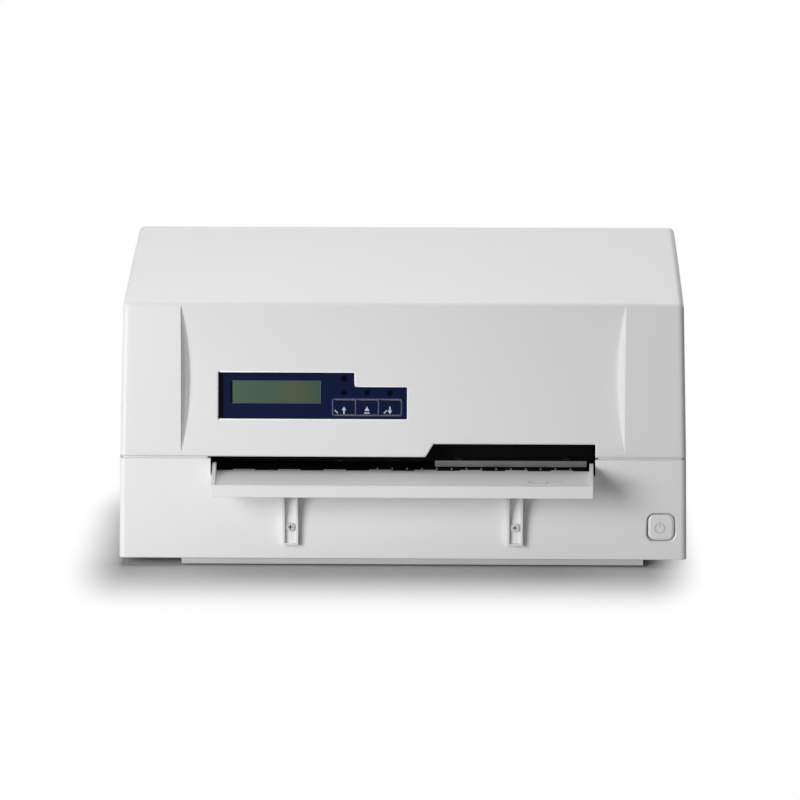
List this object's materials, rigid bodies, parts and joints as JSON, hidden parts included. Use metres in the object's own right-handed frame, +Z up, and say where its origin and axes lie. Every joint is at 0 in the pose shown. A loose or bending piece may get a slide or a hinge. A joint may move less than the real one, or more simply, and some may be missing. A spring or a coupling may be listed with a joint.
{
  "type": "dot matrix printer",
  "caption": "Flatbed dot matrix document printer with a rear-hinged cover, front table, sloped control panel, rod-guided print carriage, ribbon cassette and gear-driven feed rollers.",
  "frame": {"origin": "middle of the footprint on the surface that the feet stand on", "axes": "+X to the right along the print line, -Y out of the front, +Z up"},
  "size_m": [0.384, 0.28, 0.2028],
  "materials": {
    "belt_rubber": "toothed belt",
    "black_motor": "black motor housing",
    "black_plastic": "black moulded plastic",
    "board_green": "solder mask",
    "bright_steel": "ground bright steel",
    "bronze": "sintered bronze",
    "cast_aluminium": "die cast print head",
    "foil_navy": "navy printed foil",
    "lcd_glass": "grey green display, unlit",
    "led_lens": "unlit lamp",
    "nylon": "natural acetal gears",
    "pan_paint": "light grey powder coat",
    "ribbon_fabric": "inked nylon ribbon",
    "rubber": "black feet and tyres",
    "screw_steel": "nickel plated screws",
    "shell_grey": "fine textured light grey moulded ABS",
    "shell_white": "fine textured warm white moulded ABS",
    "zinc": "zinc plated sheet steel"
  },
  "bodies": {
    "chassis": {"lower_housing": "shell_grey", "base_pan": "pan_paint", "rubber_feet": "rubber", "housing_screws": "screw_steel", "front_table": "shell_grey", "table_screws": "screw_steel", "frame_left": "zinc", "frame_right": "zinc", "frame_ties": "zinc", "lower_guide": "black_plastic", "inner_guides": "zinc", "upper_guides": "black_plastic", "guide_bar": "bright_steel", "platen_bar": "bright_steel", "carriage_rod": "bright_steel", "carriage_rail": "zinc", "timing_belt": "belt_rubber", "belt_tensioner": "zinc", "motor_bracket": "zinc", "carriage_motor": "black_motor", "feed_motor": "black_motor", "roller_bushes": "bronze", "gear_studs": "bright_steel", "main_board": "board_green", "power_supply": "zinc", "power_inlet": "black_plastic", "interface_sockets": "black_plastic", "power_switch": "black_plastic", "ribbon_cassette": "black_plastic", "ribbon": "ribbon_fabric", "hinge_pins": "bright_steel"},
    "cover": {"top_cover": "shell_white", "panel_foil": "foil_navy", "lcd_module": "lcd_glass", "panel_board": "board_green", "status_lights": "led_lens", "panel_screws": "screw_steel"},
    "key_left": {"key_left": "foil_navy"},
    "key_middle": {"key_middle": "foil_navy"},
    "key_right": {"key_right": "foil_navy"},
    "power_button": {"power_button": "shell_grey"},
    "carriage": {"carriage": "black_plastic", "print_head": "cast_aluminium", "carriage_bushes": "bronze", "ribbon_shield": "bright_steel", "belt_clamp": "zinc"},
    "motor_pulley": {"motor_pulley": "bright_steel"},
    "idler_pulley": {"idler_pulley": "nylon"},
    "front_roller": {"front_roller": "bright_steel", "front_tyres": "rubber"},
    "rear_roller": {"rear_roller": "bright_steel", "rear_tyres": "rubber"},
    "front_pinch_roller": {"front_pinch_roller": "black_plastic"},
    "rear_pinch_roller": {"rear_pinch_roller": "black_plastic"},
    "idler_gear_front": {"idler_gear_front": "nylon"},
    "centre_gear": {"centre_gear": "nylon"},
    "idler_gear_rear": {"idler_gear_rear": "nylon"},
    "feed_pinion": {"feed_pinion": "bronze"},
    "ribbon_knob": {"ribbon_knob": "black_plastic"},
    "alignment_flap": {"alignment_flap": "zinc"}
  },
  "joints": [
    {"name": "cover_hinge", "type": "hinge", "parent": "chassis", "child": "cover", "pos_m": [0, 0.136, 0.0795], "axis": [-1, 0, 0], "range_deg": [0, 65]},
    {"name": "key_left_press", "type": "slide", "parent": "cover", "child": "key_left", "axis": [0, 0.9798, -0.1998], "range_m": [0, 0.0006], "stiffness_N_per_m": 300, "springref_m": -0.0008},
    {"name": "key_middle_press", "type": "slide", "parent": "cover", "child": "key_middle", "axis": [0, 0.9798, -0.1998], "range_m": [0, 0.0006], "stiffness_N_per_m": 300, "springref_m": -0.0008},
    {"name": "key_right_press", "type": "slide", "parent": "cover", "child": "key_right", "axis": [0, 0.9798, -0.1998], "range_m": [0, 0.0006], "stiffness_N_per_m": 300, "springref_m": -0.0008},
    {"name": "power_button_press", "type": "slide", "parent": "chassis", "child": "power_button", "axis": [0, 1, 0], "range_m": [0, 0.003], "stiffness_N_per_m": 250, "springref_m": -0.001},
    {"name": "carriage_slide", "type": "slide", "parent": "chassis", "child": "carriage", "axis": [1, 0, 0], "range_m": [-0.116, 0.116]},
    {"name": "motor_pulley_spin", "type": "hinge", "parent": "chassis", "child": "motor_pulley", "pos_m": [-0.1674, 0.022, 0.089], "axis": [0, 0, 1], "range_deg": [-975, 975]},
    {"name": "idler_pulley_spin", "type": "hinge", "parent": "chassis", "child": "idler_pulley", "pos_m": [0.157, 0.022, 0.089], "axis": [0, 0, 1], "range_deg": [-975, 975]},
    {"name": "front_roller_spin", "type": "hinge", "parent": "chassis", "child": "front_roller", "pos_m": [0, -0.062, 0.059], "axis": [1, 0, 0], "continuous": true},
    {"name": "rear_roller_spin", "type": "hinge", "parent": "chassis", "child": "rear_roller", "pos_m": [0, 0.046, 0.059], "axis": [1, 0, 0], "continuous": true},
    {"name": "front_pinch_roller_spin", "type": "hinge", "parent": "chassis", "child": "front_pinch_roller", "pos_m": [0, -0.062, 0.0724], "axis": [1, 0, 0], "continuous": true},
    {"name": "rear_pinch_roller_spin", "type": "hinge", "parent": "chassis", "child": "rear_pinch_roller", "pos_m": [0, 0.046, 0.0724], "axis": [1, 0, 0], "continuous": true},
    {"name": "idler_gear_front_spin", "type": "hinge", "parent": "chassis", "child": "idler_gear_front", "pos_m": [0, -0.035, 0.059], "axis": [1, 0, 0], "continuous": true},
    {"name": "centre_gear_spin", "type": "hinge", "parent": "chassis", "child": "centre_gear", "pos_m": [0, -0.008, 0.059], "axis": [1, 0, 0], "continuous": true},
    {"name": "idler_gear_rear_spin", "type": "hinge", "parent": "chassis", "child": "idler_gear_rear", "pos_m": [0, 0.019, 0.059], "axis": [1, 0, 0], "continuous": true},
    {"name": "feed_pinion_spin", "type": "hinge", "parent": "chassis", "child": "feed_pinion", "pos_m": [0, -0.008, 0.038], "axis": [1, 0, 0], "continuous": true},
    {"name": "ribbon_knob_spin", "type": "hinge", "parent": "chassis", "child": "ribbon_knob", "pos_m": [0.1, 0.068, 0.125], "axis": [0, 0, 1], "continuous": true},
    {"name": "alignment_flap_hinge", "type": "hinge", "parent": "chassis", "child": "alignment_flap", "pos_m": [0, -0.048, 0.057], "axis": [1, 0, 0], "range_deg": [0, 40], "stiffness_Nm_per_rad": 0.05, "springref_deg": -17.19}
  ],
  "couplings": [
    {"joint": "motor_pulley_spin", "follows": "carriage_slide", "rad_per_m": 144.93},
    {"joint": "idler_pulley_spin", "follows": "carriage_slide", "rad_per_m": 144.93},
    {"joint": "rear_roller_spin", "follows": "front_roller_spin", "ratio": 1},
    {"joint": "front_pinch_roller_spin", "follows": "front_roller_spin", "ratio": -1.1667},
    {"joint": "rear_pinch_roller_spin", "follows": "front_roller_spin", "ratio": -1.1667},
    {"joint": "idler_gear_front_spin", "follows": "front_roller_spin", "ratio": -1.25},
    {"joint": "centre_gear_spin", "follows": "front_roller_spin", "ratio": 1},
    {"joint": "idler_gear_rear_spin", "follows": "front_roller_spin", "ratio": -1.25},
    {"joint": "feed_pinion_spin", "follows": "front_roller_spin", "ratio": -2.5}
  ]
}
